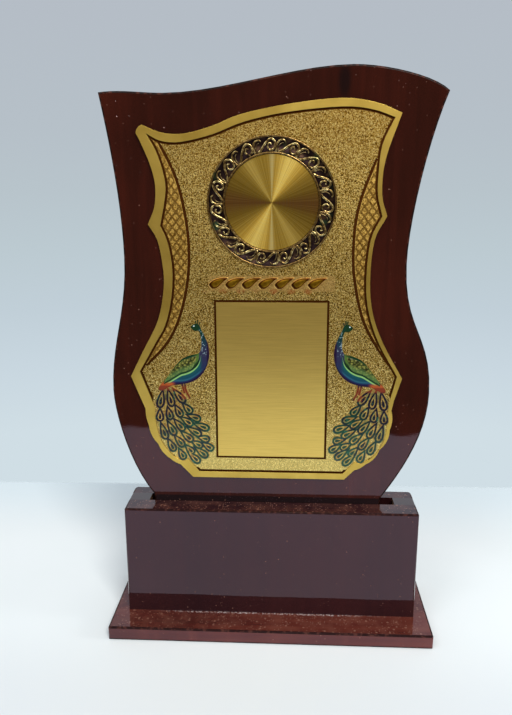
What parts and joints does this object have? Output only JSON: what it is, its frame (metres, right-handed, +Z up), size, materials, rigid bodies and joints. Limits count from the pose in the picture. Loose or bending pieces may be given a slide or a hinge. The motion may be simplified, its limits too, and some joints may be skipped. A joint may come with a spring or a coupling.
{
  "type": "memento shield trophy",
  "caption": "Wave-shaped wooden award shield with an embossed gold plate, round scroll medallion and two peacocks, stood in a slotted block on a plinth.",
  "frame": {"origin": "middle of the plinth's underside", "axes": "+Z up, the engraved front faces -Y, +X to the right seen from the front"},
  "size_m": [0.18, 0.065, 0.305],
  "materials": {
    "lacquered_wood": "high-gloss dark mahogany lacquer",
    "gold_plate": "gold-coloured sheet, sanded field, polished rim, satin panel",
    "antique_brass": "dark antique patina, bright on the high points",
    "spun_brass": "concentrically spun satin",
    "enamel": "translucent coloured enamel, green, teal, blue and orange",
    "zinc_steel": "zinc plated",
    "tape": "white foam"
  },
  "bodies": {
    "root": {"plinth": "lacquered_wood", "base_front_board": "lacquered_wood", "base_slot_board": "lacquered_wood", "base_back_board": "lacquered_wood", "base_screws": "zinc_steel", "shield_board": "lacquered_wood", "plate_tape": "tape", "face_plate": "gold_plate", "medallion_ring": "antique_brass", "disc_tape": "tape", "medallion_disc": "spun_brass", "peacock_left": "enamel", "peacock_right": "enamel"}
  },
  "joints": []
}
